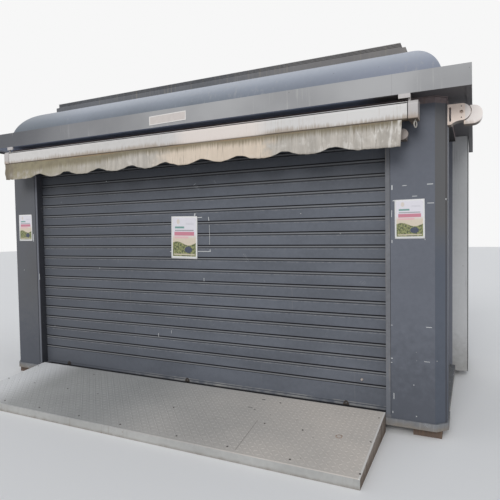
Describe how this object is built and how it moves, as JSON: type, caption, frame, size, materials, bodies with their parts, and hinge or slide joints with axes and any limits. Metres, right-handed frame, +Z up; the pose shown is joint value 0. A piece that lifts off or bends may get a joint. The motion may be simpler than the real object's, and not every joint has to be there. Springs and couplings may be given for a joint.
{
  "type": "street kiosk",
  "caption": "Closed street kiosk with a slatted roller shutter, chamfered columns, pillow roof, retracted awning with scalloped valance and a chequer-plate ramp.",
  "frame": {"origin": "middle of the object's footprint, ramp and eaves included, on the ground", "axes": "+X along the front to the right, +Y from the shutter to the back, +Z up"},
  "size_m": [4.934, 3.694, 3.06],
  "materials": {
    "slate_paint": "semi-gloss slate blue-grey paint, faded, scuffed and dusty",
    "worn_paint": "same paint worn to a paler grey near the ground",
    "rusty_steel": "dark primer with brown rust",
    "dark_steel": "bare dark brown steel",
    "room_lining": "plain pale lining",
    "deck_grey": "dirty grey sheet",
    "shutter_paint": "semi-gloss slate paint on rolled slats, scratched",
    "galvanised": "dull galvanised steel with raised chequer pattern",
    "awning_white": "white enamel, grey-brown water stains",
    "awning_cloth": "beige acrylic cloth, greenish dirt",
    "cabinet_grey": "light grey sheet"
  },
  "bodies": {
    "root": {"awning_arms": "awning_white", "awning_brackets": "awning_white", "awning_front_bar": "awning_white", "awning_hangers": "awning_white", "awning_roller": "awning_cloth", "awning_valance": "awning_cloth", "base_feet": "dark_steel", "base_joists": "dark_steel", "base_rails": "worn_paint", "base_shoes": "worn_paint", "column_front_left": "slate_paint", "column_front_right": "slate_paint", "column_rear_left": "slate_paint", "column_rear_right": "slate_paint", "crank_eye": "awning_white", "eave_front": "slate_paint", "eave_left": "slate_paint", "eave_rear": "slate_paint", "eave_right": "slate_paint", "floor_panel": "room_lining", "header_front": "rusty_steel", "header_left": "rusty_steel", "header_rear": "rusty_steel", "header_right": "rusty_steel", "left_wall": "slate_paint", "ramp_front_lip": "galvanised", "ramp_plate": "galvanised", "ramp_sides": "galvanised", "ramp_stringers": "dark_steel", "rear_wall": "slate_paint", "ribbed_deck": "deck_grey", "right_wall": "slate_paint", "roof_cove_front": "slate_paint", "roof_cove_left": "slate_paint", "roof_cove_rear": "slate_paint", "roof_cove_right": "slate_paint", "roof_top": "slate_paint", "roof_upstand": "deck_grey", "shutter_bottom_bar": "shutter_paint", "shutter_curtain": "shutter_paint", "shutter_guide_left": "shutter_paint", "shutter_guide_right": "shutter_paint", "side_bracket": "awning_white", "side_cabinet_left": "cabinet_grey", "side_cabinet_right": "cabinet_grey"}
  },
  "joints": []
}
